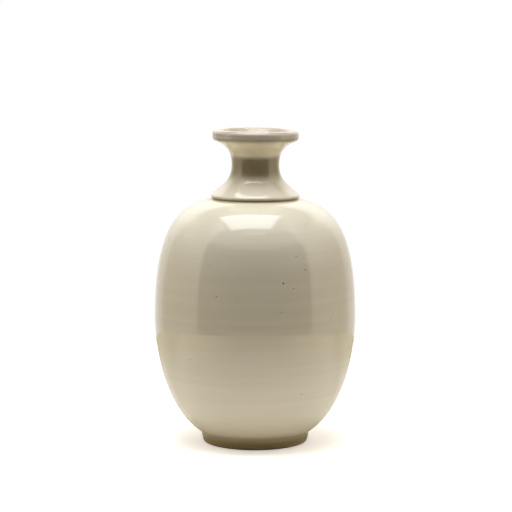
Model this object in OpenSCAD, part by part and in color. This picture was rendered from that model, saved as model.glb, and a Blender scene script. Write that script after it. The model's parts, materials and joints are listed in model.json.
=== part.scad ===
// Bottle vase of thrown stoneware. The body, the neck and the foot ring are thrown separately, luted
// together with slip, and coated with a cream glaze outside and a liner glaze inside.
// Millimetres, Z up. The origin is the centre of the foot, on the surface that the vase stands on.

/* [Body] */
// Radius of the clay at the widest place of the belly
belly_r = 76.6; // [62:0.2:100]
// Height of the widest place
belly_z = 95.6; // [75:0.2:120]
// Height of the land on the shoulder that the neck stands on
seat_z = 187.7; // [155:0.1:230]
// Thickness of the thrown wall
wall_t = 5.4; // [4:0.1:7.5]
// Thickness of the floor
floor_t = 7; // [6.5:0.1:12]
// Radius of the opening in the shoulder that takes the neck's spigot
opening_r = 25; // [20:0.1:30]

/* [Curve of the body] */
// Angle from level at which the flank leaves the foot
flank_angle = 31.5; // [22:0.5:45]
// How far the flank keeps that angle, as a share of the rise from foot to belly
flank_run = 0.45; // [0.25:0.01:0.55]
// How far the belly stays upright below its widest place, as a share of the same rise
belly_low = 0.07; // [0.02:0.01:0.4]
// How far the belly stays upright above its widest place, as a share of the rise to the land
belly_high = 0.83; // [0.5:0.01:0.9]
// How far the shoulder keeps its angle, as a share of its width
shoulder_run = 0.55; // [0.3:0.01:0.8]
// Angle from level at which the shoulder meets the land
shoulder_angle = 14; // [6:1:24]

/* [Neck] */
// Height of the neck above the land
neck_h = 51.9; // [46:0.1:64]
// Radius of the collar that stands on the shoulder
collar_r = 33.4; // [31.8:0.1:42]
// Radius of the collar's rounded edge
collar_round = 1.5; // [1:0.1:2]
// Angle from level at which the neck leaves the collar
flare_angle = 45; // [35:1:60]
// How far the neck keeps that angle
flare_run = 10.4; // [6:0.1:14]
// Height of the waist above the land
waist_rise = 25.8; // [22:0.1:31]
// How far the neck stays upright below the waist
waist_low = 13; // [8:0.1:16]
// How far the neck stays upright above the waist
waist_high = 15.2; // [8:0.1:18]
// Radius of the finished throat, inside the liner glaze
throat_r = 13.5; // [10:0.1:17]
// Length of the straight part of the throat
throat_len = 14; // [8:0.5:16.5]
// How far the middle of the straight part lies below the waist
throat_drop = 1; // [0:0.5:3]
// How far the inside of the neck stays upright below the throat and above the spigot's end
hollow_run = 9; // [5:0.5:11]
// Thickness of the clay at the waist
neck_wall_t = 3.9; // [3:0.1:6]
// Thickness of the spigot that centres the neck in the opening
spigot_t = 4; // [3:0.1:5]

/* [Rim] */
// Radius of the clay at the rim
rim_r = 32.6; // [29:0.1:40]
// Radius of the rim's upper edge
rim_round = 3; // [2:0.1:3.5]
// Radius of the rim's lower edge
lip_round = 2.7; // [2:0.1:3.2]
// Height of the straight band between the two edges
rim_band = 2; // [1:0.1:3]
// Angle from level of the rim's underside
lip_angle = 33; // [20:1:45]
// How far the underside keeps that angle
lip_run = 4.7; // [2:0.1:8]
// How far the rim rolls over into the mouth, in degrees
mouth_roll = 60; // [40:1:70]
// How far the mouth's funnel keeps the slope that it starts and ends with
funnel_run = 7; // [4:0.1:8.5]

/* [Foot] */
// Radius of the foot where it meets the table
foot_r = 40; // [33:0.1:50]
// Height of the foot
foot_h = 8.3; // [6:0.1:12]
// How much wider the foot is at its top
foot_batter = 1.4; // [0:0.1:3]
// Width of the ring
foot_w = 6.4; // [5:0.1:10]
// Radius of the foot's worn edges
foot_round = 1; // [0.4:0.1:1.4]

/* [Slip and glaze] */
// Thickness of the slip in the two joints
slip_t = 0.4; // [0.2:0.05:0.8]
// Thickness of the outer glaze
glaze_t = 0.4; // [0.2:0.05:0.5]
// Thickness of the liner glaze
liner_t = 0.35; // [0.2:0.05:0.5]
// Height of the bare clay left under the edge of the outer glaze
bare_h = 1.6; // [1.4:0.1:4]
// How far the glaze fills the groove between shoulder and collar
groove_fill = 1; // [0.8:0.1:1.2]

/* [Hidden] */
$fn = 96;
land_r = collar_r - collar_round;
base_z = seat_z + slip_t;
ceiling_z = seat_z - wall_t;
floor_z = foot_h + floor_t;
spigot_r = opening_r - slip_t;
bore_r = throat_r + liner_t;
waist_r = bore_r + neck_wall_t;
ring_h = foot_h - slip_t;
foot_in_r = foot_r - foot_w;
foot_in_top_r = foot_in_r - foot_batter;

belly = [belly_r, belly_z];
land = [land_r, seat_z];
foot_top = [foot_r + foot_batter, foot_h];
waist = [waist_r, seat_z + waist_rise];
throat_top = [bore_r, waist[1] - throat_drop + throat_len / 2];
throat_end = throat_top - [0, throat_len];
spigot_end = [spigot_r - spigot_t, ceiling_z];

// Centres of the rounded edges of the neck
collar_mid = [land_r, base_z + collar_round];
rim_mid = [rim_r - rim_round, seat_z + neck_h - rim_round];
lip_mid = [rim_r - lip_round, rim_mid[1] - rim_band];

function polar(a) = [cos(a), sin(a)];

function flipped(path) = [for (i = [len(path) - 1:-1:0]) path[i]];

// Points of an arc and of a cubic curve, without the first one
function arc(mid, r, from, to, n) = [for (i = [1:n]) mid + r * polar(from + (to - from) * i / n)];
function curve(a, b, c, d, n) = [for (i = [1:n])
    let (t = i / n, s = 1 - t) s * s * s * a + 3 * s * s * t * b + 3 * s * t * t * c + t * t * t * d];

// A path moved by d to the right of its direction, with mitred corners
function right_of(p, q) = [q[1] - p[1], p[0] - q[0]] / norm(q - p);
function moved(path, d) = let (end = len(path) - 1) [for (i = [0:end])
    let (before = right_of(path[max(i, 1) - 1], path[max(i, 1)]),
         after = right_of(path[min(i, end - 1)], path[min(i, end - 1) + 1]))
    path[i] + d * (before + after) / (1 + before * after)];

// Radius of the foot's outer side at height z
function foot_side_r(z) = foot_r + foot_batter * (z - foot_round) / (foot_h - foot_round);

// Clay surface of the body, from the top of the foot to the land
flank_rise = belly_z - foot_h;
shoulder_rise = seat_z - belly_z;
body_skin = concat(
    [foot_top],
    curve(foot_top, foot_top + flank_run * flank_rise * polar(flank_angle),
        belly - [0, belly_low * flank_rise], belly, 20),
    curve(belly, belly + [0, belly_high * shoulder_rise],
        land + shoulder_run * (belly_r - land_r) * polar(-shoulder_angle), land, 28));

// Inside of the body, from the floor's edge to the ceiling
floor_edge = [foot_top[0] - wall_t * sin(flank_angle)
    + (floor_t - wall_t * cos(flank_angle)) / tan(flank_angle), floor_z];
body_hollow = concat([floor_edge],
    [for (p = moved(body_skin, -wall_t)) if (p[1] > floor_z + 1) p]);

// Clay surface of the neck, from the land over the rim to the edge of the mouth
collar_end = collar_mid + collar_round * polar(90 - flare_angle);
lip_start = lip_mid + lip_round * polar(lip_angle - 90);
neck_skin = concat(
    [[land_r, base_z]],
    arc(collar_mid, collar_round, -90, 90 - flare_angle, 10),
    curve(collar_end, collar_end + flare_run * polar(180 - flare_angle),
        waist - [0, waist_low], waist, 16),
    curve(waist, waist + [0, waist_high], lip_start - lip_run * polar(lip_angle), lip_start, 16),
    arc(lip_mid, lip_round, lip_angle - 90, 0, 8),
    [rim_mid + [rim_round, 0]],
    arc(rim_mid, rim_round, 0, 90 + mouth_roll, 14));

// Inside of the neck, from the edge of the mouth down the funnel and the throat to the spigot's end
mouth = neck_skin[len(neck_skin) - 1];
neck_hollow = concat(
    [mouth],
    curve(mouth, mouth + funnel_run * polar(180 + mouth_roll), throat_top + [0, funnel_run], throat_top, 14),
    [throat_end],
    curve(throat_end, throat_end - [0, hollow_run], spigot_end + [0, hollow_run], spigot_end, 10));

module turned(outline) {
    rotate_extrude() polygon(outline);
}

// Closed-in pot with a flat floor and a round opening in the shoulder
module body() {
    color("tan") turned(concat(
        [[0, foot_h]], body_skin, [[opening_r, seat_z], [opening_r, ceiling_z]],
        flipped(body_hollow), [[0, floor_z]]));
}

// Waisted neck with a collar below, a spigot inside it and a rolled rim above
module neck() {
    color("burlywood") turned(concat(
        neck_skin, neck_hollow, [[spigot_r, ceiling_z], [spigot_r, base_z]]));
}

// Ring under the floor, bare where it meets the table
module foot_ring() {
    color("sienna") turned(concat(
        [[foot_r - foot_round, 0]],
        arc([foot_r - foot_round, foot_round], foot_round, -90, 0, 6),
        [[foot_side_r(ring_h), ring_h], [foot_in_top_r, ring_h], [foot_in_r, foot_round]],
        arc([foot_in_r + foot_round, foot_round], foot_round, 180, 270, 6)));
}

// Slip between neck and body: a flat ring on the land and a sleeve around the spigot
module neck_slip() {
    color("peru") turned([
        [spigot_r, ceiling_z], [opening_r, ceiling_z], [opening_r, seat_z],
        [land_r, seat_z], [land_r, base_z], [spigot_r, base_z]]);
}

// Slip between the foot ring and the floor
module foot_slip() {
    color("peru") turned([
        [foot_in_top_r, ring_h], [foot_side_r(ring_h), ring_h],
        foot_top, [foot_in_top_r, foot_h]]);
}

// One coat from just above the table over belly, groove, neck and rim to the edge of the mouth
module outer_glaze() {
    fill_r = land_r + groove_fill;
    body_side = concat([[foot_side_r(bare_h), bare_h]], body_skin);
    coat = concat(
        [for (p = moved(body_side, glaze_t)) if (p[1] < belly_z || p[0] > fill_r) p],
        [for (p = moved(neck_skin, glaze_t)) if (p[1] > collar_mid[1] || p[0] > fill_r) p]);
    color("ivory") turned(concat(coat, flipped(neck_skin), flipped(body_side)));
}

// Waterproof coat from the edge of the mouth down over the ceiling, the wall and the floor
module liner_glaze() {
    clay = concat(
        neck_hollow, [[opening_r, ceiling_z]], flipped(body_hollow), [[0, floor_z]]);
    color("cornsilk") turned(concat(moved(clay, liner_t), flipped(clay)));
}

body();
neck();
foot_ring();
neck_slip();
foot_slip();
outer_glaze();
liner_glaze();
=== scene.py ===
"""A thrown stoneware bottle vase under a cream glaze, built round its CAD frame in metres."""

import json
import math
import random

import bpy
from bpy.props import (
    FloatProperty,
    FloatVectorProperty,
    IntProperty,
    PointerProperty,
)
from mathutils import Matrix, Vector


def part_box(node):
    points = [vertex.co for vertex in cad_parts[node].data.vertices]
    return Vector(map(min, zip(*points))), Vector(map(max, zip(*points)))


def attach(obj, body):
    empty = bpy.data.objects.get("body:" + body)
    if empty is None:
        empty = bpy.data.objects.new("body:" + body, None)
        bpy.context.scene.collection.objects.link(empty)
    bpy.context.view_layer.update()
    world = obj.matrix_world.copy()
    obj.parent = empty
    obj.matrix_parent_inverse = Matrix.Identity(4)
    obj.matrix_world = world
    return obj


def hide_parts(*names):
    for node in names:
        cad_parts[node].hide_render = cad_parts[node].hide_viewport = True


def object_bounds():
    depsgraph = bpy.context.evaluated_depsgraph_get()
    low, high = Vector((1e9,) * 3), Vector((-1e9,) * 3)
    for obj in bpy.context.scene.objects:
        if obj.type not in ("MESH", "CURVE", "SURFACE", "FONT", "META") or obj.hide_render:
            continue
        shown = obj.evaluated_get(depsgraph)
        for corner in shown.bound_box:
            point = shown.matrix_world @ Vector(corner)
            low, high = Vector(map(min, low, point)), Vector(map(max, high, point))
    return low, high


bl_info = {
    "name": "Cream Bottle Vase",
    "version": (1, 0, 0),
    "blender": (4, 5, 0),
    "location": "View3D > Sidebar > Vase",
    "description": "Builds a thrown and glazed bottle vase with its stage",
    "category": "Add Mesh",
}

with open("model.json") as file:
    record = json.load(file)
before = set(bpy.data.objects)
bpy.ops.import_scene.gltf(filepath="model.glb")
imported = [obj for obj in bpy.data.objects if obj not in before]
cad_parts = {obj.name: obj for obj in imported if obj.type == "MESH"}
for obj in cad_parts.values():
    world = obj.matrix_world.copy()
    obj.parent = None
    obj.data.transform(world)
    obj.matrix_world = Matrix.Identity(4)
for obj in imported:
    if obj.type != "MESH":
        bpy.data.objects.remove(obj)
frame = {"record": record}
CAD_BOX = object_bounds()

# Sizes that the frame fixes
BELLY_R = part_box("body")[1].x
FOOT_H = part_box("body")[0].z
SEAT_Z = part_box("body")[1].z
NECK_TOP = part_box("neck")[1].z
CEILING_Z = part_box("neck")[0].z
LAND_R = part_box("neck_slip")[1].x
BASE_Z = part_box("neck_slip")[1].z
RING_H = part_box("foot_ring")[1].z
GLAZE_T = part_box("outer_glaze")[1].z - NECK_TOP
FLOOR_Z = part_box("liner_glaze")[0].z
BARE_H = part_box("outer_glaze")[0].z
THROAT = next(m for m in frame["record"]["mounts"] if m["name"] == "throat")
THROAT_R = THROAT["dims"]["r_mm"] / 1000
THROAT_LENGTH = THROAT["dims"]["length_mm"] / 1000
THROAT_Z = THROAT["pos_m"][2]

# Larger iron specks of the glaze: degrees round from the front, height and radius in millimetres
SPECKS = (
    (16, 132, 0.7),
    (22, 128, 0.45),
    (25, 151, 0.45),
    (30, 141, 0.5),
    (47, 103, 0.4),
    (30, 47, 0.4),
    (-10, 123, 0.35),
    (-22, 122, 0.5),
    (-27, 144, 0.4),
    (-40, 73, 0.4),
)

# Where a speck starts to fade and where it ends, in metres for each millimetre of its radius
SPECK_CORE = 0.0007
SPECK_EDGE = 0.0013

# How finely an outline is cut and spun
SEGMENT_LENGTH = 0.014
SEGMENT_CUTS = 10
SPIN_STEPS = 168
SMOOTH_ANGLE = math.radians(40)


def length(name, description, default, low=0.0):
    """A size in metres that a user may change."""
    return FloatProperty(
        name=name, description=description, default=default, min=low, unit="LENGTH", subtype="DISTANCE"
    )


def angle(name, description, degrees):
    """An angle that a user may change."""
    return FloatProperty(
        name=name, description=description, default=math.radians(degrees), unit="ROTATION", subtype="ANGLE"
    )


def share(name, description, default):
    """A share of a size, from 0 to 1."""
    return FloatProperty(
        name=name, description=description, default=default, min=0, max=1, subtype="FACTOR"
    )


def amount(name, description, default):
    """A plain number, such as a brightness."""
    return FloatProperty(name=name, description=description, default=default, min=0)


def colour(name, description, default):
    """A colour that a user may change."""
    return FloatVectorProperty(
        name=name, description=description, default=default, size=3, min=0, max=1, subtype="COLOR"
    )


class VaseShape(bpy.types.PropertyGroup):
    """Sizes of the clay that the frame's boxes don't give."""

    belly_z: length("Belly height", "Height of the widest place", 0.0956)
    flank_angle: angle("Flank angle", "Angle from level at which the flank leaves the foot", 31.5)
    flank_run: share("Flank run", "How far the flank keeps that angle", 0.45)
    belly_low: share("Belly low", "How far the belly stays upright below its widest place", 0.07)
    belly_high: share("Belly high", "How far the belly stays upright above it", 0.83)
    shoulder_run: share("Shoulder run", "How far the shoulder keeps its angle", 0.55)
    shoulder_angle: angle("Shoulder angle", "Angle from level at which the shoulder ends", 14)
    wall: length("Wall", "Thickness of the thrown wall", 0.0054)
    opening_r: length("Opening", "Radius of the opening in the shoulder", 0.025)
    floor_round: length("Floor rounding", "Size of the curve between floor and wall", 0.006)
    collar_round: length("Collar rounding", "Radius of the collar's edge", 0.0015)
    flare_angle: angle("Flare angle", "Angle from level at which the neck leaves the collar", 45)
    flare_run: length("Flare run", "How far the neck keeps that angle", 0.0104)
    waist_rise: length("Waist rise", "Height of the waist above the seat", 0.0258)
    waist_low: length("Waist low", "How far the neck stays upright below the waist", 0.013)
    waist_high: length("Waist high", "How far the neck stays upright above the waist", 0.0152)
    neck_wall: length("Neck wall", "Thickness of the clay at the waist", 0.0039)
    hollow_run: length("Hollow run", "How far the inside stays upright below the throat", 0.009)
    spigot: length("Spigot", "Thickness of the spigot", 0.004)
    rim_r: length("Rim radius", "Radius of the clay at the rim", 0.0326)
    rim_round: length("Rim rounding", "Radius of the rim's upper edge", 0.003)
    lip_round: length("Lip rounding", "Radius of the rim's lower edge", 0.0027)
    rim_band: length("Rim band", "Height of the band between the two edges", 0.002)
    lip_angle: angle("Lip angle", "Angle from level of the rim's underside", 33)
    lip_run: length("Lip run", "How far the underside keeps that angle", 0.0047)
    mouth_roll: angle("Mouth roll", "How far the rim rolls over into the mouth", 60)
    funnel_run: length("Funnel run", "How far the funnel keeps its end slopes", 0.007)
    foot_r: length("Foot radius", "Radius of the foot where it stands", 0.040)
    foot_batter: length("Foot batter", "How much wider the foot is at its top", 0.0014)
    foot_w: length("Foot width", "Width of the foot ring", 0.0064)
    foot_round: length("Foot rounding", "Radius of the foot's worn edges", 0.001)
    foot_pool: length("Foot pool", "Size of the glaze curve between foot and flank", 0.0046)
    groove_pool: length("Groove pool", "Size of the glaze curve in the collar's groove", 0.0005)
    liner: length("Liner", "Thickness of the glaze inside", 0.00035)


class VaseHand(bpy.types.PropertyGroup):
    """How far the thrown vase is from true."""

    rim_tilt: angle("Rim tilt", "How far the rim leans down to the right", 0.8)
    rim_shift: length("Rim shift", "How far the rim stands off the axis", 0.0003)
    seam_tilt: angle("Seam tilt", "How far the collar leans down to the right", 0.3)
    waver: length("Waver", "Soft unevenness of the whole form", 0.00025)
    ring_depth: length("Ring depth", "Depth of the throwing rings", 0.00003)
    seed: IntProperty(name="Seed", description="Choice of the unevenness", default=4, min=0)


class VaseFinish(bpy.types.PropertyGroup):
    """Colours of clay and glaze, and of the painted light and painted shade laid on the glaze."""

    cream: colour("Cream", "Glaze where it lies thick", (0.62, 0.575, 0.48))
    thin: colour("Thin glaze", "Glaze where an edge shows through it", (0.42, 0.355, 0.30))
    # Pooled glaze in the collar's groove and at the foot, and painted shade: the dark bands at the neck's waist, under
    # the rim's lip, in the groove and near the table.
    pooling_and_painted_shade: colour("Pooled glaze", "Glaze where it gathers", (0.28, 0.225, 0.095))
    # Painted bounce light: a lighter, yellower tone on the neck under the rim, standing in for light thrown up from
    # the shoulder.
    painted_neck_light: colour("Khaki", "Glaze under the rim", (0.98, 0.90, 0.69))
    # Painted light: a lighter tone on the collar, standing in for overhead light that the rim's overhang keeps off.
    pale: colour("Pale", "Glaze on the collar", (0.74, 0.68, 0.575))
    liner: colour("Liner", "Glaze inside", (0.70, 0.65, 0.54))
    clay: colour("Clay", "Bare stoneware", (0.66, 0.56, 0.44))
    toasted: colour("Toasted clay", "Bare clay of the foot", (0.34, 0.24, 0.155))
    slip: colour("Slip", "Fired slip", (0.60, 0.50, 0.38))
    iron: colour("Iron", "Specks in the glaze", (0.10, 0.07, 0.045))
    gloss: share("Gloss", "Roughness of the glaze", 0.035)


class VaseStage(bpy.types.PropertyGroup):
    """Camera, lights and surroundings."""

    camera_x: length("Camera side", "Distance of the camera to the right of the axis", 0.00065)
    camera_back: length("Camera distance", "Distance of the camera in front of the axis", 1.5331)
    camera_z: length("Camera height", "Height of the camera above the table", 0.3349)
    aim_z: length("Aim height", "Height on the axis that the camera looks at", 0.1432)
    lens: FloatProperty(
        name="Lens", description="Focal length of the camera", default=141.7, min=1, unit="CAMERA"
    )
    table_r: length("Table radius", "Radius of the round table", 0.46)
    softbox_left: length("Softbox side", "How far the lamp's middle lies to the left", 0.055)
    softbox_x: length("Softbox width", "Size of the lamp from side to side", 0.56)
    softbox_y: length("Softbox depth", "Size of the lamp from front to back", 0.51)
    softbox_z: length("Softbox height", "Height of the lamp above the table", 0.81)
    softbox_front: length("Softbox offset", "How far the lamp's middle lies in front", 0.08)
    softbox_light: amount("Softbox light", "Brightness of the lamp's face where the glaze mirrors it", 4.6)
    fill_light: amount("Fill light", "Brightness of the same face that the glaze doesn't mirror", 1.3)
    softbox_colour: colour("Softbox colour", "Colour of the lamp", (0.925, 0.975, 1.0))
    tent_colour: colour("Tent colour", "Colour of the tent's light", (1.0, 0.88, 0.66))
    mirror_tint: colour("Mirror tint", "Colour of the tent where the glaze mirrors it", (1.0, 0.94, 0.82))
    table_tint: colour("Table tint", "Colour of the table near the vase", (1.0, 0.965, 0.90))
    gap_angle: angle("Gap angle", "Half width of the tent's dark front", 68)
    gap_top: angle("Gap top", "Height of the tent's dark front", 33)
    gap_light: amount("Gap light", "Brightness of the tent's dark front", 0.01)
    canopy_light: amount("Canopy light", "Brightness of the tent above the dark front", 0.25)
    wall_low: amount("Wall foot", "Brightness of the tent's walls at the table", 0.65)
    wall_high: amount("Wall top", "Brightness of the tent's walls at their top", 1.3)
    side_lamps: amount("Side lamps", "Brightness of the tent above its side walls", 2.2)
    mirror_light: amount("Mirror light", "How much brighter the walls are where the glaze mirrors them", 1.0)
    table_shine: amount("Table shine", "Light of the table where the glaze mirrors it", 0.8)
    strip_light: amount("Strip light", "Brightness of the lit edge over the tent's dark front", 2.0)
    table_colour: share("Table colour", "Brightness of the table's colour", 0.99)


# Outlines: points are (radius, height), and a segment is a cubic of four points


def at(radius, height):
    return Vector((radius, height))


def polar(turn):
    return Vector((math.cos(turn), math.sin(turn)))


def line(a, b):
    return (a, a.lerp(b, 1 / 3), a.lerp(b, 2 / 3), b)


def curve(a, leave, arrive, b):
    """A curve from a to b that leaves a along one handle and arrives at b from the other."""
    return (a, a + leave, b + arrive, b)


def arc(middle, radius, start, end):
    """A round stretch, as one or two segments."""
    parts = 1 if abs(end - start) <= math.pi / 2 else 2
    step = (end - start) / parts
    reach = 4 / 3 * math.tan(step / 4) * radius
    outline = []
    for part in range(parts):
        first, last = start + part * step, start + (part + 1) * step
        a, b = middle + radius * polar(first), middle + radius * polar(last)
        leave, arrive = polar(first + math.pi / 2), polar(last + math.pi / 2)
        outline.append((a, a + reach * leave, b - reach * arrive, b))
    return outline


def split(segment, t):
    """The two parts of a segment, cut at t."""
    a, b, c, d = segment
    ab, bc, cd = a.lerp(b, t), b.lerp(c, t), c.lerp(d, t)
    abc, bcd = ab.lerp(bc, t), bc.lerp(cd, t)
    middle = abc.lerp(bcd, t)
    return (a, ab, abc, middle), (middle, bcd, cd, d)


def fine(outline):
    """The same outline in segments that are short enough for an even mesh."""
    cut = []
    for segment in outline:
        a, b, c, d = segment
        parts = math.ceil(((b - a).length + (c - b).length + (d - c).length) / SEGMENT_LENGTH)
        for left in range(parts, 1, -1):
            first, segment = split(segment, 1 / left)
            cut.append(first)
        cut.append(segment)
    return cut


def flipped(outline):
    return [segment[::-1] for segment in reversed(outline)]


def grown(outline, by):
    """The outline moved to the right of its direction, segment by segment."""
    moved = []
    for a, b, c, d in outline:
        start, end = (b - a).normalized(), (d - c).normalized()
        first = a + by * Vector((start.y, -start.x))
        last = d + by * Vector((end.y, -end.x))
        stretch = (last - first).length / (d - a).length
        moved.append((first, first + stretch * (b - a), last - stretch * (d - c), last))
    return moved


def eased(before, after, size):
    """Two outlines that meet at a corner, with the corner's ends cut back by size and joined by a curve."""
    last, first = before[-1], after[0]
    kept, _ = split(last, 1 - size / (3 * (last[3] - last[2]).length))
    _, rest = split(first, size / (3 * (first[1] - first[0]).length))
    pull = 0.6 * (rest[0] - kept[3]).length
    leave = pull * (kept[3] - kept[2]).normalized()
    arrive = -pull * (rest[1] - rest[0]).normalized()
    return before[:-1] + [kept, curve(kept[3], leave, arrive, rest[0]), rest] + after[1:]


def path(*parts):
    """One outline from points and outlines, with straight lines between those that lie apart."""
    outline = []
    here = None
    for part in parts:
        start = part if isinstance(part, Vector) else part[0][0]
        if here is not None and (start - here).length > 1e-6:
            outline.append(line(here, start))
        if isinstance(part, Vector):
            here = part
        else:
            outline += part
            here = part[-1][3]
    return outline


# Outlines of the clay


def foot_side_r(shape, z):
    """Radius of the foot's outer side at height z."""
    rise = (z - shape.foot_round) / (FOOT_H - shape.foot_round)
    return shape.foot_r + shape.foot_batter * rise


def body_skin(shape):
    """Clay surface of the body, from the top of the foot to the land under the neck."""
    foot_top = at(foot_side_r(shape, FOOT_H), FOOT_H)
    belly = at(BELLY_R, shape.belly_z)
    land = at(LAND_R, SEAT_Z)
    below, above = shape.belly_z - FOOT_H, SEAT_Z - shape.belly_z
    leave_foot = shape.flank_run * below * polar(shape.flank_angle)
    reach_land = shape.shoulder_run * (BELLY_R - LAND_R) * polar(-shape.shoulder_angle)
    return [
        curve(foot_top, leave_foot, at(0, -shape.belly_low * below), belly),
        curve(belly, at(0, shape.belly_high * above), reach_land, land),
    ]


def body_hollow(shape):
    """Inside of the body, from the ceiling down to the middle of the floor."""
    wall = flipped(grown(body_skin(shape), -shape.wall))
    ceiling = path(at(shape.opening_r, CEILING_Z), wall)
    lowest = ceiling[-1]
    share_above = next(
        t / 100 for t in range(1, 101) if split(lowest, t / 100)[0][3].y < FLOOR_Z or t == 100
    )
    kept = ceiling[:-1] + [split(lowest, share_above)[0]]
    floor_edge = kept[-1][3]
    return eased(kept, [line(floor_edge, at(0, floor_edge.y))], shape.floor_round)


def neck_skin(shape):
    """Clay surface of the neck, from the collar over the rim to the edge of the mouth."""
    quarter = math.pi / 2
    collar = at(LAND_R, BASE_Z + shape.collar_round)
    rim = at(shape.rim_r - shape.rim_round, NECK_TOP - shape.rim_round)
    lip = at(shape.rim_r - shape.lip_round, rim.y - shape.rim_band)
    waist = at(THROAT_R + shape.liner + shape.neck_wall, SEAT_Z + shape.waist_rise)
    collar_edge = arc(collar, shape.collar_round, -quarter, quarter - shape.flare_angle)
    lip_edge = arc(lip, shape.lip_round, shape.lip_angle - quarter, 0)
    leave_collar = shape.flare_run * polar(math.pi - shape.flare_angle)
    reach_lip = -shape.lip_run * polar(shape.lip_angle)
    flare = curve(collar_edge[-1][3], leave_collar, at(0, -shape.waist_low), waist)
    underside = curve(waist, at(0, shape.waist_high), reach_lip, lip_edge[0][0])
    rim_edge = arc(rim, shape.rim_round, 0, quarter + shape.mouth_roll)
    return path(collar_edge, [flare, underside], lip_edge, rim_edge)


def neck_hollow(shape):
    """Inside of the neck, from the edge of the mouth down to the spigot's end."""
    mouth = neck_skin(shape)[-1][3]
    bore_r = THROAT_R + shape.liner
    top = at(bore_r, THROAT_Z + THROAT_LENGTH / 2)
    bottom = at(bore_r, THROAT_Z - THROAT_LENGTH / 2)
    end = at(shape.opening_r - (BASE_Z - SEAT_Z) - shape.spigot, CEILING_Z)
    inward = shape.funnel_run * polar(math.pi + shape.mouth_roll)
    funnel = curve(mouth, inward, at(0, shape.funnel_run), top)
    below = curve(bottom, at(0, -shape.hollow_run), at(0, shape.hollow_run), end)
    return path([funnel], [below])


# Building


def start_piece():
    """Object mode with nothing selected."""
    if bpy.context.object and bpy.context.object.mode != "OBJECT":
        bpy.ops.object.mode_set(mode="OBJECT")
    bpy.ops.object.select_all(action="DESELECT")


def turned(name, outline, closed=True):
    """An outline drawn as a curve and spun round the axis into a solid."""
    start_piece()
    bpy.ops.curve.primitive_bezier_curve_add(location=(0, 0, 0))
    piece = bpy.context.object
    piece.name = name
    spline = piece.data.splines[0]
    spline.bezier_points.add(len(outline) + (0 if closed else 1) - 2)
    spline.use_cyclic_u = closed
    spline.resolution_u = SEGMENT_CUTS
    for index, knot in enumerate(spline.bezier_points):
        leaving = outline[min(index, len(outline) - 1)]
        arriving = outline[index - 1 if closed else max(index, 1) - 1]
        place = leaving[0] if index < len(outline) else arriving[3]
        knot.handle_left_type = "FREE"
        knot.handle_right_type = "FREE"
        knot.co = (place.x, 0, place.y)
        knot.handle_left = (arriving[2].x, 0, arriving[2].y)
        knot.handle_right = (leaving[1].x, 0, leaving[1].y)
    bpy.ops.object.convert(target="MESH")
    bpy.ops.object.mode_set(mode="EDIT")
    bpy.ops.mesh.select_all(action="SELECT")
    bpy.ops.mesh.spin(steps=SPIN_STEPS, angle=2 * math.pi, center=(0, 0, 0), axis=(0, 0, 1))
    bpy.ops.mesh.select_all(action="SELECT")
    bpy.ops.mesh.remove_doubles(threshold=0.00001)
    bpy.ops.mesh.normals_make_consistent(inside=False)
    bpy.ops.object.mode_set(mode="OBJECT")
    return piece


def shape_by_hand(piece, hand):
    """Move the piece as the thrown vase wavers: the same for clay and glaze, so nothing pokes through."""
    draws = random.Random(hand.seed)
    start_piece()
    low, high = CAD_BOX
    middle = (low + high) / 2
    bpy.ops.object.add(type="LATTICE", location=middle)
    cage = bpy.context.object
    cage.scale = (high - low) * 1.1
    across, layers = 4, 56
    cage.data.points_u = cage.data.points_v = across
    cage.data.points_w = layers
    lean = [[draws.uniform(-1, 1) for _ in range(2 * across * across)] for _ in range(7)]
    rings = [draws.uniform(-1, 1) for _ in range(layers)]
    for index, point in enumerate(cage.data.points):
        layer = index // (across * across)
        column = index % (across * across)
        place = Vector(point.co)
        world = Vector([place[i] * cage.scale[i] + middle[i] for i in range(3)])
        above_seat = min(max((world.z - BASE_Z) / (NECK_TOP - BASE_Z), 0), 1)
        near_seat = min(max(1 - abs(world.z - SEAT_Z) / 0.04, 0), 1)
        tilt = hand.rim_tilt * above_seat + hand.seam_tilt * near_seat * (1 - above_seat)
        step = layer / (layers - 1) * (len(lean) - 1)
        low_row = min(int(step), len(lean) - 2)
        blend = step - low_row
        waver = [
            hand.waver * (lean[low_row][2 * column + k] * (1 - blend) + lean[low_row + 1][2 * column + k] * blend)
            for k in range(2)
        ]
        settled = min(max((world.z - FOOT_H) / 0.03, 0), 1)
        ring = 1 + settled * hand.ring_depth * rings[layer] / BELLY_R
        moved = Vector(
            (
                world.x * ring + settled * waver[0] + hand.rim_shift * above_seat,
                world.y * ring + settled * waver[1],
                world.z - settled * math.tan(tilt) * world.x,
            )
        )
        point.co_deform = [(moved[i] - middle[i]) / cage.scale[i] for i in range(3)]
    start_piece()
    bpy.context.view_layer.objects.active = piece
    piece.select_set(True)
    bend = piece.modifiers.new("Hand", "LATTICE")
    bend.object = cage
    bpy.ops.object.modifier_apply(modifier=bend.name)
    bpy.ops.object.shade_smooth_by_angle(angle=SMOOTH_ANGLE)
    start_piece()
    cage.select_set(True)
    bpy.ops.object.delete()


def finish_piece(piece, node, material):
    """Give the piece its unevenness and finish, and let it stand for its CAD node."""
    shape_by_hand(piece, bpy.context.scene.vase_hand)
    piece.data.materials.clear()
    piece.data.materials.append(material)
    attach(piece, "root")
    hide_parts(node)


# Finishes


def put(tree, kind, inputs=None, **settings):
    """A shader node with its settings, and each input a value or a link."""
    node = tree.nodes.new(kind)
    for name, value in settings.items():
        setattr(node, name, value)
    for name, value in (inputs or {}).items():
        if isinstance(value, bpy.types.NodeSocket):
            tree.links.new(value, node.inputs[name])
        else:
            node.inputs[name].default_value = value
    return node


def new_material(name):
    """An empty node material, and its tree."""
    material = bpy.data.materials.get(name) or bpy.data.materials.new(name)
    material.use_nodes = True
    material.node_tree.nodes.clear()
    return material, material.node_tree


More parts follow.
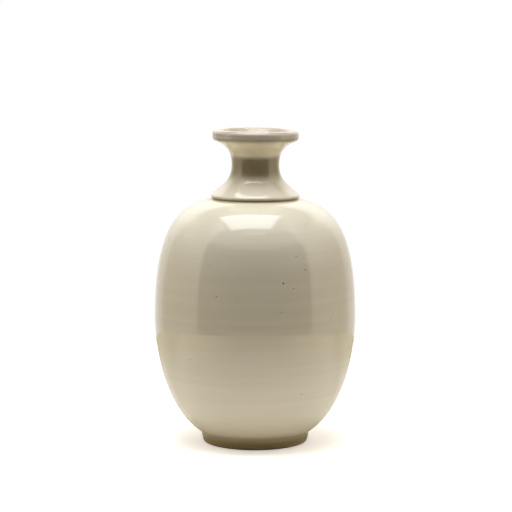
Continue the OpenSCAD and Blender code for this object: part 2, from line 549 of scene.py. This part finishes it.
def rgba(colour_value):
    return (*colour_value, 1.0)


def maths(tree, operation, a, b=0.0, c=0.0):
    return put(tree, "ShaderNodeMath", {0: a, 1: b, 2: c}, operation=operation).outputs[0]


def blended(tree, factor, a, b):
    """Number a turned into number b by factor."""
    node = put(tree, "ShaderNodeMix", data_type="FLOAT")
    for index, value in ((0, factor), (2, a), (3, b)):
        if isinstance(value, bpy.types.NodeSocket):
            tree.links.new(value, node.inputs[index])
        else:
            node.inputs[index].default_value = value
    return node.outputs[0]


def ramp(tree, value, low, high, start=0.0, end=1.0):
    """A smooth step of value from low to high."""
    settings = {"Value": value, "From Min": low, "From Max": high, "To Min": start, "To Max": end}
    node = put(tree, "ShaderNodeMapRange", settings, interpolation_type="SMOOTHSTEP")
    return node.outputs["Result"]


def mixed(tree, factor, a, b, blend="MIX"):
    """Colour a turned into colour b by factor."""
    node = put(tree, "ShaderNodeMix", data_type="RGBA", blend_type=blend)
    for index, value in ((0, factor), (6, a), (7, b)):
        if isinstance(value, bpy.types.NodeSocket):
            tree.links.new(value, node.inputs[index])
        else:
            node.inputs[index].default_value = value
    return node.outputs[2]


def noise(tree, place, scale, detail=2.0, stretch=(1, 1, 1)):
    """Soft noise round 0.5, finer along an axis with a larger stretch."""
    mapping = put(tree, "ShaderNodeMapping", {"Vector": place, "Scale": stretch})
    settings = {"Vector": mapping.outputs[0], "Scale": scale, "Detail": detail}
    return put(tree, "ShaderNodeTexNoise", settings).outputs["Fac"]


def polar_place(tree):
    """Object coordinates, with the radius and the height."""
    place = put(tree, "ShaderNodeTexCoord").outputs["Object"]
    parts = put(tree, "ShaderNodeSeparateXYZ", {0: place})
    x, y, z = parts.outputs
    radius = maths(tree, "SQRT", maths(tree, "ADD", maths(tree, "MULTIPLY", x, x), maths(tree, "MULTIPLY", y, y)))
    return place, radius, z


def iron_specks(tree, place, scale, chosen, low, high):
    """Mask of scattered round specks: one in a few cells, from low to high in size."""
    settings = {"Vector": place, "Scale": scale, "Randomness": 1.0}
    cells = put(tree, "ShaderNodeTexVoronoi", settings, feature="F1")
    picks = put(tree, "ShaderNodeSeparateColor", {0: cells.outputs["Color"]})
    picked = maths(tree, "LESS_THAN", picks.outputs[0], chosen)
    size = ramp(tree, picks.outputs[1], 0.0, 1.0, low * scale, high * scale)
    inside = maths(tree, "SUBTRACT", 1.0, maths(tree, "DIVIDE", cells.outputs["Distance"], size))
    return maths(tree, "MULTIPLY", picked, ramp(tree, inside, 0.0, 0.5))


def surface_r(outline, z):
    """Radius of an outline that rises all the way, at height z."""
    segment = next(piece for piece in outline if piece[0].y <= z <= piece[3].y)
    low, high = 0.0, 1.0
    for _ in range(30):
        middle = (low + high) / 2
        if split(segment, middle)[0][3].y < z:
            low = middle
        else:
            high = middle
    return split(segment, low)[0][3].x


def front_specks(tree, place, skin):
    """Mask of the specks that were placed one by one."""
    mask = None
    for turn, height, size in SPECKS:
        z, way = height / 1000, math.radians(turn)
        r = surface_r(skin, z)
        middle = (r * math.sin(way), -r * math.cos(way), z)
        gap = put(tree, "ShaderNodeVectorMath", {0: place, 1: middle}, operation="DISTANCE").outputs["Value"]
        dot = ramp(tree, gap, size * SPECK_CORE, size * SPECK_EDGE, 1.0, 0.0)
        mask = dot if mask is None else maths(tree, "MAXIMUM", mask, dot)
    return mask


def glaze_material(name, thick, finish, edges, skin=None):
    """Glossy glaze with a soft change of tone, faint throwing lines, specks, thin or pooling stretches, and bands of
    painted light and painted shade.

    Each edge is (colour, strength, mask function of radius and height)."""
    material, tree = new_material(name)
    place, radius, z = polar_place(tree)
    cloud = noise(tree, place, 9.0)
    streaks = noise(tree, place, 14.0, 4.0, (0.6, 0.6, 22.0))
    tone = maths(tree, "ADD", ramp(tree, cloud, 0.3, 0.7, -0.02, 0.02), ramp(tree, streaks, 0.3, 0.7, -0.022, 0.022))
    bright = maths(tree, "ADD", tone, 1.0)
    colour_now = mixed(tree, 1.0, rgba(thick), put(tree, "ShaderNodeCombineColor", {0: bright, 1: bright, 2: bright}).outputs[0], "MULTIPLY")
    for edge_colour, strength, mask in edges:
        factor = maths(tree, "MULTIPLY", mask(tree, radius, z), strength)
        colour_now = mixed(tree, factor, colour_now, rgba(edge_colour))
    specks = iron_specks(tree, place, 110.0, 0.12, 0.0003, 0.0006)
    dots = iron_specks(tree, place, 260.0, 0.06, 0.00012, 0.0003)
    spots = maths(tree, "MAXIMUM", specks, dots)
    if skin:
        spots = maths(tree, "MAXIMUM", spots, front_specks(tree, place, skin))
    colour_now = mixed(tree, maths(tree, "MULTIPLY", spots, 0.9), colour_now, rgba(finish.iron))
    relief = noise(tree, place, 260.0, 1.0)
    swell = noise(tree, place, 28.0, 2.0, (1, 1, 2.2))
    height = maths(tree, "ADD", maths(tree, "MULTIPLY", relief, 0.04), swell)
    height = maths(tree, "ADD", height, maths(tree, "MULTIPLY", streaks, 0.25))
    height = maths(tree, "SUBTRACT", height, maths(tree, "MULTIPLY", spots, 0.4))
    bump = put(tree, "ShaderNodeBump", {"Strength": 0.075, "Distance": 0.0002, "Height": height})
    rough = ramp(tree, noise(tree, place, 60.0), 0.35, 0.65, finish.gloss * 0.8, finish.gloss * 1.25)
    settings = {"Base Color": colour_now, "Roughness": rough, "IOR": 1.5, "Normal": bump.outputs[0]}
    surface = put(tree, "ShaderNodeBsdfPrincipled", settings)
    put(tree, "ShaderNodeOutputMaterial", {"Surface": surface.outputs[0]})
    return material


def clay_material(name, colour_value, roughness, grain):
    """Bare fired clay: grain, darker grog and fine turning marks round the axis."""
    material, tree = new_material(name)
    place, radius, z = polar_place(tree)
    cloud = noise(tree, place, 40.0, 5.0)
    grit = noise(tree, place, 900.0, 2.0)
    turning = put(
        tree,
        "ShaderNodeTexNoise",
        {"W": maths(tree, "MULTIPLY", maths(tree, "ADD", radius, z), 900.0), "Scale": 1.0, "Detail": 3.0},
        noise_dimensions="1D",
    ).outputs["Fac"]
    pale = rgba([min(1, c * 1.12) for c in colour_value])
    deep = rgba([c * 0.78 for c in colour_value])
    toned = mixed(tree, ramp(tree, cloud, 0.3, 0.7), deep, pale)
    grog = ramp(tree, grit, 0.62, 0.72)
    toned = mixed(tree, maths(tree, "MULTIPLY", grog, 0.45), toned, rgba([c * 0.45 for c in colour_value]))
    height = maths(tree, "ADD", maths(tree, "MULTIPLY", grit, 0.5), turning)
    bump = put(tree, "ShaderNodeBump", {"Strength": grain, "Distance": 0.0003, "Height": height})
    rough = ramp(tree, cloud, 0.3, 0.7, roughness - 0.08, roughness + 0.05)
    settings = {"Base Color": toned, "Roughness": rough, "Normal": bump.outputs[0]}
    surface = put(tree, "ShaderNodeBsdfPrincipled", settings)
    put(tree, "ShaderNodeOutputMaterial", {"Surface": surface.outputs[0]})
    return material


def height_band(low, high, soft, soft_top=None):
    """Mask of the stretch between two heights, with soft ends."""
    soft_top = soft_top or soft

    def mask(tree, _radius, z):
        rise = ramp(tree, z, low - soft, low + soft)
        fall = ramp(tree, z, high - soft_top, high + soft_top)
        return maths(tree, "SUBTRACT", rise, fall)

    return mask


class VASE_OT_throw_body(bpy.types.Operator):
    """Throw the round pot with its flat floor and its open shoulder"""

    bl_idname = "vase.throw_body"
    bl_label = "Throw Body"

    def execute(self, context):
        shape, finish = context.scene.vase_shape, context.scene.vase_finish
        outline = path(
            at(0, FOOT_H),
            fine(body_skin(shape)),
            at(shape.opening_r, SEAT_Z),
            fine(body_hollow(shape)),
        )
        piece = turned("thrown_body", outline, closed=False)
        finish_piece(piece, "body", clay_material("stoneware", finish.clay, 0.78, 0.5))
        return {"FINISHED"}


class VASE_OT_throw_neck(bpy.types.Operator):
    """Throw the waisted neck with its collar, spigot and rolled rim"""

    bl_idname = "vase.throw_neck"
    bl_label = "Throw Neck"

    def execute(self, context):
        shape, finish = context.scene.vase_shape, context.scene.vase_finish
        spigot_r = shape.opening_r - (BASE_Z - SEAT_Z)
        outline = path(
            fine(neck_skin(shape)),
            fine(neck_hollow(shape)),
            at(spigot_r, CEILING_Z),
            at(spigot_r, BASE_Z),
            at(LAND_R, BASE_Z),
        )
        piece = turned("thrown_neck", outline)
        finish_piece(piece, "neck", clay_material("neck_clay", finish.clay, 0.78, 0.5))
        return {"FINISHED"}


class VASE_OT_turn_foot(bpy.types.Operator):
    """Turn the foot ring with its worn edges"""

    bl_idname = "vase.turn_foot"
    bl_label = "Turn Foot"

    def execute(self, context):
        shape, finish = context.scene.vase_shape, context.scene.vase_finish
        edge = shape.foot_round
        inner_r = shape.foot_r - shape.foot_w
        outer_edge = arc(at(shape.foot_r - edge, edge), edge, -math.pi / 2, 0)
        inner_edge = arc(at(inner_r + edge, edge), edge, math.pi, 1.5 * math.pi)
        outline = path(
            outer_edge,
            at(foot_side_r(shape, RING_H), RING_H),
            at(inner_r - shape.foot_batter, RING_H),
            inner_edge,
            outer_edge[0][0],
        )
        piece = turned("turned_foot_ring", outline)
        finish_piece(piece, "foot_ring", clay_material("foot_clay", finish.toasted, 0.82, 0.7))
        return {"FINISHED"}


class VASE_OT_lay_slip(bpy.types.Operator):
    """Lay the slip that holds the neck and the foot ring"""

    bl_idname = "vase.lay_slip"
    bl_label = "Lay Slip"

    def execute(self, context):
        shape, finish = context.scene.vase_shape, context.scene.vase_finish
        slip = clay_material("joint_slip", finish.slip, 0.7, 0.3)
        spigot_r = shape.opening_r - (BASE_Z - SEAT_Z)
        sleeve = path(
            at(spigot_r, CEILING_Z),
            at(shape.opening_r, CEILING_Z),
            at(shape.opening_r, SEAT_Z),
            at(LAND_R, SEAT_Z),
            at(LAND_R, BASE_Z),
            at(spigot_r, BASE_Z),
            at(spigot_r, CEILING_Z),
        )
        finish_piece(turned("neck_slip_ring", sleeve), "neck_slip", slip)
        inner_r = shape.foot_r - shape.foot_w - shape.foot_batter
        bead = (FOOT_H - RING_H) / 2
        flat = path(
            at(foot_side_r(shape, RING_H), RING_H),
            at(foot_side_r(shape, FOOT_H), FOOT_H),
            at(inner_r, FOOT_H),
            arc(at(inner_r, FOOT_H - bead), bead, math.pi / 2, 1.5 * math.pi),
            at(foot_side_r(shape, RING_H), RING_H),
        )
        finish_piece(turned("foot_slip_ring", flat), "foot_slip", slip)
        return {"FINISHED"}


class VASE_OT_glaze_outside(bpy.types.Operator):
    """Coat the outside with cream glaze, from just above the table to the edge of the mouth"""

    bl_idname = "vase.glaze_outside"
    bl_label = "Glaze Outside"

    def execute(self, context):
        shape, finish = context.scene.vase_shape, context.scene.vase_finish
        edge = at(foot_side_r(shape, BARE_H), BARE_H)
        foot_side = [line(edge, at(foot_side_r(shape, FOOT_H), FOOT_H))]
        body, neck = body_skin(shape), neck_skin(shape)
        outer_foot = grown(foot_side, GLAZE_T)
        outer_body = grown(body, GLAZE_T)
        outer_neck = grown(neck, GLAZE_T)
        lowest = outer_foot[0][0]
        bead_top = lowest + at(0.00012, 2.2 * GLAZE_T)
        bead = [curve(edge, at(1.1 * GLAZE_T, -0.1 * GLAZE_T), at(0, -1.2 * GLAZE_T), bead_top)]
        skin = eased([line(bead_top, outer_foot[0][3])], outer_body, shape.foot_pool)
        coat = meet_in_groove(skin, outer_neck, shape.groove_pool)
        outline = path(bead, fine(coat), flipped(neck), flipped(body), flipped(foot_side))
        piece = turned("outer_glaze_coat", outline)
        top, seat = NECK_TOP + GLAZE_T, SEAT_Z
        waist = seat + shape.waist_rise
        edges = [
            # Painted bounce light on the neck below the rim.
            (finish.painted_neck_light, 0.9, height_band(waist + 0.0070, waist + 0.0180, 0.0022)),
            # Painted light on the collar under the rim's overhang.
            (finish.pale, 0.8, height_band(seat + 0.0012, waist - 0.0105, 0.0045)),
            # Painted shade at the neck's waist, where the rim's overhang keeps off the light.
            (finish.pooling_and_painted_shade, 0.62, height_band(waist - 0.0085, waist + 0.0058, 0.0045, 0.0022)),
            # Painted shade under the rim's lip.
            (finish.pooling_and_painted_shade, 0.6, height_band(NECK_TOP - 0.0072, NECK_TOP - 0.0050, 0.0009)),
            # Pooled glaze in the collar's groove, darkened further as painted shade under the collar's bead.
            (finish.pooling_and_painted_shade, 0.75, height_band(seat - 0.0006, seat + 0.0012, 0.0006)),
            # Pooled glaze at the foot, darkened further towards the table as painted shade.
            (finish.pooling_and_painted_shade, 0.95, height_band(-0.02, 0.0085, 0.005)),
            (finish.thin, 0.9, height_band(top - 0.0042, top + 0.01, 0.0024)),
            (finish.thin, 0.6, height_band(-0.01, BARE_H + 0.0004, 0.0006)),
        ]
        material = glaze_material("cream_glaze", finish.cream, finish, edges, outer_body)
        finish_piece(piece, "outer_glaze", material)
        return {"FINISHED"}


def meet_in_groove(shoulder, neck, size):
    """The shoulder's glaze and the collar's, cut where they cross in the groove and joined by a small curve."""
    flank, collar = shoulder[-1], neck[0]
    best = None
    for i in range(1, 80):
        low = split(flank, 1 - i / 2000)[0]
        for j in range(1, 60):
            high = split(collar, j / 100)[1]
            gap = (low[3] - high[0]).length
            if best is None or gap < best[0]:
                best = (gap, low, high)
    _, low, high = best
    corner = low[3]
    high = (corner, high[1], high[2], high[3])
    return eased(shoulder[:-1] + [low], [high] + neck[1:], size)


class VASE_OT_glaze_inside(bpy.types.Operator):
    """Coat the inside with the liner glaze, from the edge of the mouth to the middle of the floor"""

    bl_idname = "vase.glaze_inside"
    bl_label = "Glaze Inside"

    def execute(self, context):
        shape, finish = context.scene.vase_shape, context.scene.vase_finish
        neck, body = neck_hollow(shape), body_hollow(shape)
        clay = path(neck, at(shape.opening_r, CEILING_Z), body)
        quarter = math.pi / 2
        inner_neck = grown(neck, shape.liner)
        spigot_end = neck[-1][3]
        turn = arc(spigot_end, shape.liner, math.pi, math.pi + quarter)
        inner_body = grown(body, shape.liner)
        coat = path(inner_neck, turn, inner_body)
        outline = path(fine(coat), flipped(clay))
        piece = turned("liner_glaze_coat", outline[:], closed=False)
        top = NECK_TOP + GLAZE_T
        edges = [(finish.thin, 0.9, height_band(top - 0.0042, top + 0.01, 0.0024))]
        material = glaze_material("liner_glaze", finish.liner, finish, edges)
        finish_piece(piece, "liner_glaze", material)
        return {"FINISHED"}


def add_table(stage):
    """The pale round table, which keeps the vase's shadow and fades to white where the camera sees it."""
    start_piece()
    bpy.ops.mesh.primitive_circle_add(vertices=96, radius=stage.table_r, fill_type="NGON", location=(0, 0, 0))
    table = bpy.context.object
    table.name = "table"
    material, tree = new_material("table")
    place, radius, _ = polar_place(tree)
    x, y, _ = put(tree, "ShaderNodeSeparateXYZ", {0: place}).outputs
    rays = put(tree, "ShaderNodeLightPath").outputs
    # Painted pool of light: the table's colour darkens from its middle outwards.
    painted_light_pool = ramp(tree, radius, 0.1, 0.36, 1.0, 0.5)
    behind = ramp(tree, y, -0.05, 0.06)
    # Painted shade in the glaze's mirror: for glossy rays the table behind the vase is darker.
    mirrored_shade = maths(tree, "MULTIPLY", maths(tree, "MULTIPLY", behind, rays["Is Glossy Ray"]), -0.3)
    shade = maths(tree, "MULTIPLY", maths(tree, "MULTIPLY", painted_light_pool, stage.table_colour), maths(tree, "ADD", mirrored_shade, 1.0))
    tint = mixed(tree, ramp(tree, radius, 0.16, 0.4), rgba(stage.table_tint), rgba(stage.tent_colour))
    tint = mixed(tree, rays["Is Camera Ray"], tint, rgba((1, 1, 1)))
    grey = put(tree, "ShaderNodeCombineColor", {0: shade, 1: shade, 2: shade}).outputs[0]
    matt = put(tree, "ShaderNodeBsdfDiffuse", {"Color": mixed(tree, 1.0, tint, grey, "MULTIPLY")})
    glow = ramp(tree, radius, 0.09, 0.2, 0.4, 1.0)
    near = ramp(tree, radius, 0.045, 0.08)
    far = ramp(tree, radius, 0.2, stage.table_r, 1.0, 0.5)
    beside = ramp(tree, maths(tree, "ABSOLUTE", x), 0.12, 0.4, 0.0, 1.4)
    shine = maths(tree, "MULTIPLY", near, maths(tree, "ADD", far, beside))
    shine = maths(tree, "MULTIPLY", shine, maths(tree, "MULTIPLY_ADD", behind, -0.55, 1.0))
    shine = maths(tree, "MULTIPLY", shine, maths(tree, "MULTIPLY", rays["Is Glossy Ray"], stage.table_shine))
    strength = blended(tree, rays["Is Camera Ray"], shine, glow)
    light = put(tree, "ShaderNodeEmission", {"Color": tint, "Strength": strength})
    surface = put(tree, "ShaderNodeAddShader", {0: matt.outputs[0], 1: light.outputs[0]})
    put(tree, "ShaderNodeOutputMaterial", {"Surface": surface.outputs[0]})
    table.data.materials.append(material)


def add_lamp(stage, name, side, light, size, mirrored):
    """One face of the broad lamp over the vase, at a share of its full size, the smaller the lower."""
    start_piece()
    height = stage.softbox_z - 0.01 * (1 - size)
    bpy.ops.object.light_add(type="AREA", location=(side, -stage.softbox_front, height))
    lamp = bpy.context.object
    lamp.name = name
    lamp.data.shape = "RECTANGLE"
    lamp.data.size = stage.softbox_x * size
    lamp.data.size_y = stage.softbox_y * size
    lamp.data.color = stage.softbox_colour
    lamp.data.energy = 4 * light * lamp.data.size * lamp.data.size_y
    lamp.visible_camera = False
    lamp.visible_glossy = mirrored


def add_softbox(stage):
    """The lamp's face, brighter towards its middle, and its fill that the glaze doesn't mirror."""
    sizes = (1.0, 0.93, 0.86)
    for number, size in enumerate(sizes):
        add_lamp(stage, f"softbox_{number}", -stage.softbox_left, stage.softbox_light / len(sizes), size, True)
    add_lamp(stage, "fill", 1.1 * stage.softbox_left, stage.fill_light, 1.05, False)


def add_tent(scene, stage):
    """The light tent as the world: bright all round but for the gap in front, and white where it is seen."""
    world = bpy.data.worlds.new("light_tent")
    scene.world = world
    world.use_nodes = True
    tree = world.node_tree
    tree.nodes.clear()
    way = put(tree, "ShaderNodeTexCoord").outputs["Generated"]
    x, y, z = put(tree, "ShaderNodeSeparateXYZ", {0: way}).outputs
    aside = maths(tree, "ABSOLUTE", maths(tree, "ARCTAN2", x, maths(tree, "MULTIPLY", y, -1.0)))
    rise = maths(tree, "ARCSINE", z)
    soft = math.radians(2.5)
    beside_gap = ramp(tree, aside, stage.gap_angle - soft, stage.gap_angle + soft)
    above_gap = ramp(tree, rise, stage.gap_top - soft, stage.gap_top + soft)
    wall = ramp(tree, rise, 0.0, math.radians(38), stage.wall_low, stage.wall_high)
    lamps = ramp(tree, aside, math.radians(85), math.radians(145), stage.side_lamps, 0.1)
    front = ramp(tree, above_gap, 0.0, 1.0, stage.gap_light, stage.canopy_light)
    upper = maths(tree, "SUBTRACT", ramp(tree, rise, math.radians(36), math.radians(46)), ramp(tree, rise, math.radians(58), math.radians(66)))
    side = blended(tree, upper, wall, lamps)
    tent = blended(tree, beside_gap, front, side)
    roofed = blended(tree, ramp(tree, rise, math.radians(58), math.radians(66)), tent, stage.canopy_light)
    rays = put(tree, "ShaderNodeLightPath").outputs
    low = maths(tree, "SUBTRACT", 1.0, ramp(tree, rise, math.radians(20), math.radians(50)))
    low = maths(tree, "MULTIPLY", low, stage.mirror_light)
    fading = ramp(tree, aside, math.radians(72), math.radians(122), 1.0, 0.0)
    backdrop = ramp(tree, aside, math.radians(130), math.radians(133), 0.0, 0.6)
    shine = maths(tree, "MULTIPLY", low, maths(tree, "ADD", fading, backdrop))
    upper_side = maths(tree, "MULTIPLY", upper, ramp(tree, aside, math.radians(74), math.radians(104), 0.0, 0.8))
    step = maths(tree, "MULTIPLY", above_gap, 3.0)
    step = maths(tree, "MULTIPLY", step, maths(tree, "SUBTRACT", 1.0, beside_gap))
    shine = maths(tree, "MULTIPLY", rays["Is Glossy Ray"], maths(tree, "SUBTRACT", maths(tree, "ADD", shine, step), upper_side))
    strip = maths(tree, "SUBTRACT", ramp(tree, rise, math.radians(53), math.radians(55)), ramp(tree, rise, math.radians(58), math.radians(60)))
    strip = maths(tree, "MULTIPLY", strip, ramp(tree, aside, math.radians(15), math.radians(24), stage.strip_light, 0.0))
    roofed = maths(tree, "ADD", maths(tree, "MULTIPLY", roofed, maths(tree, "ADD", 1.0, shine)), strip)
    far_side = ramp(tree, aside, math.radians(126), math.radians(134))
    near_side = mixed(tree, rays["Is Glossy Ray"], rgba(stage.tent_colour), rgba(stage.mirror_tint))
    colour_now = mixed(tree, far_side, near_side, (1, 0.98, 0.93, 1))
    lit = put(tree, "ShaderNodeBackground", {"Color": colour_now, "Strength": roofed})
    white = put(tree, "ShaderNodeBackground", {"Color": (1, 1, 1, 1), "Strength": 1.0})
    surface = put(tree, "ShaderNodeMixShader", {0: rays["Is Camera Ray"], 1: lit.outputs[0], 2: white.outputs[0]})
    put(tree, "ShaderNodeOutputWorld", {"Surface": surface.outputs[0]})


def add_camera(scene, stage):
    """The camera, a little above the vase and aimed at its axis."""
    start_piece()
    pitch = math.atan2(stage.camera_z - stage.aim_z, stage.camera_back)
    place = (stage.camera_x, -stage.camera_back, stage.camera_z)
    bpy.ops.object.camera_add(location=place, rotation=(math.pi / 2 - pitch, 0, 0))
    scene.camera = bpy.context.object
    scene.camera.data.lens = stage.lens
    scene.camera.data.sensor_width = 36


class VASE_OT_set_stage(bpy.types.Operator):
    """Set the table, the lamp, the light tent and the camera"""

    bl_idname = "vase.set_stage"
    bl_label = "Set Stage"

    def execute(self, context):
        scene = context.scene
        stage = scene.vase_stage
        add_table(stage)
        add_softbox(stage)
        add_tent(scene, stage)
        add_camera(scene, stage)
        scene.view_settings.view_transform = "Standard"
        return {"FINISHED"}


class VASE_PT_panel(bpy.types.Panel):
    """Sizes, finish and steps of the vase"""

    bl_idname = "VASE_PT_panel"
    bl_label = "Bottle Vase"
    bl_space_type = "VIEW_3D"
    bl_region_type = "UI"
    bl_category = "Vase"

    def draw(self, context):
        scene = context.scene
        for group in (scene.vase_shape, scene.vase_hand, scene.vase_finish, scene.vase_stage):
            box = self.layout.box()
            for name in group.bl_rna.properties.keys():
                if name not in ("rna_type", "name"):
                    box.prop(group, name)
        for operator in OPERATORS:
            self.layout.operator(operator.bl_idname)


OPERATORS = (
    VASE_OT_throw_body,
    VASE_OT_throw_neck,
    VASE_OT_turn_foot,
    VASE_OT_lay_slip,
    VASE_OT_glaze_outside,
    VASE_OT_glaze_inside,
    VASE_OT_set_stage,
)
GROUPS = {
    "vase_shape": VaseShape,
    "vase_hand": VaseHand,
    "vase_finish": VaseFinish,
    "vase_stage": VaseStage,
}


def register():
    for kind in (*GROUPS.values(), *OPERATORS, VASE_PT_panel):
        bpy.utils.register_class(kind)
    for name, kind in GROUPS.items():
        setattr(bpy.types.Scene, name, PointerProperty(type=kind))


def unregister():
    for name in GROUPS:
        delattr(bpy.types.Scene, name)
    for kind in (VASE_PT_panel, *reversed(OPERATORS), *GROUPS.values()):
        bpy.utils.unregister_class(kind)


def main():
    register()
    bpy.ops.vase.throw_body()
    bpy.ops.vase.throw_neck()
    bpy.ops.vase.turn_foot()
    bpy.ops.vase.lay_slip()
    bpy.ops.vase.glaze_outside()
    bpy.ops.vase.glaze_inside()
    bpy.ops.vase.set_stage()


if __name__ == "__main__":
    main()
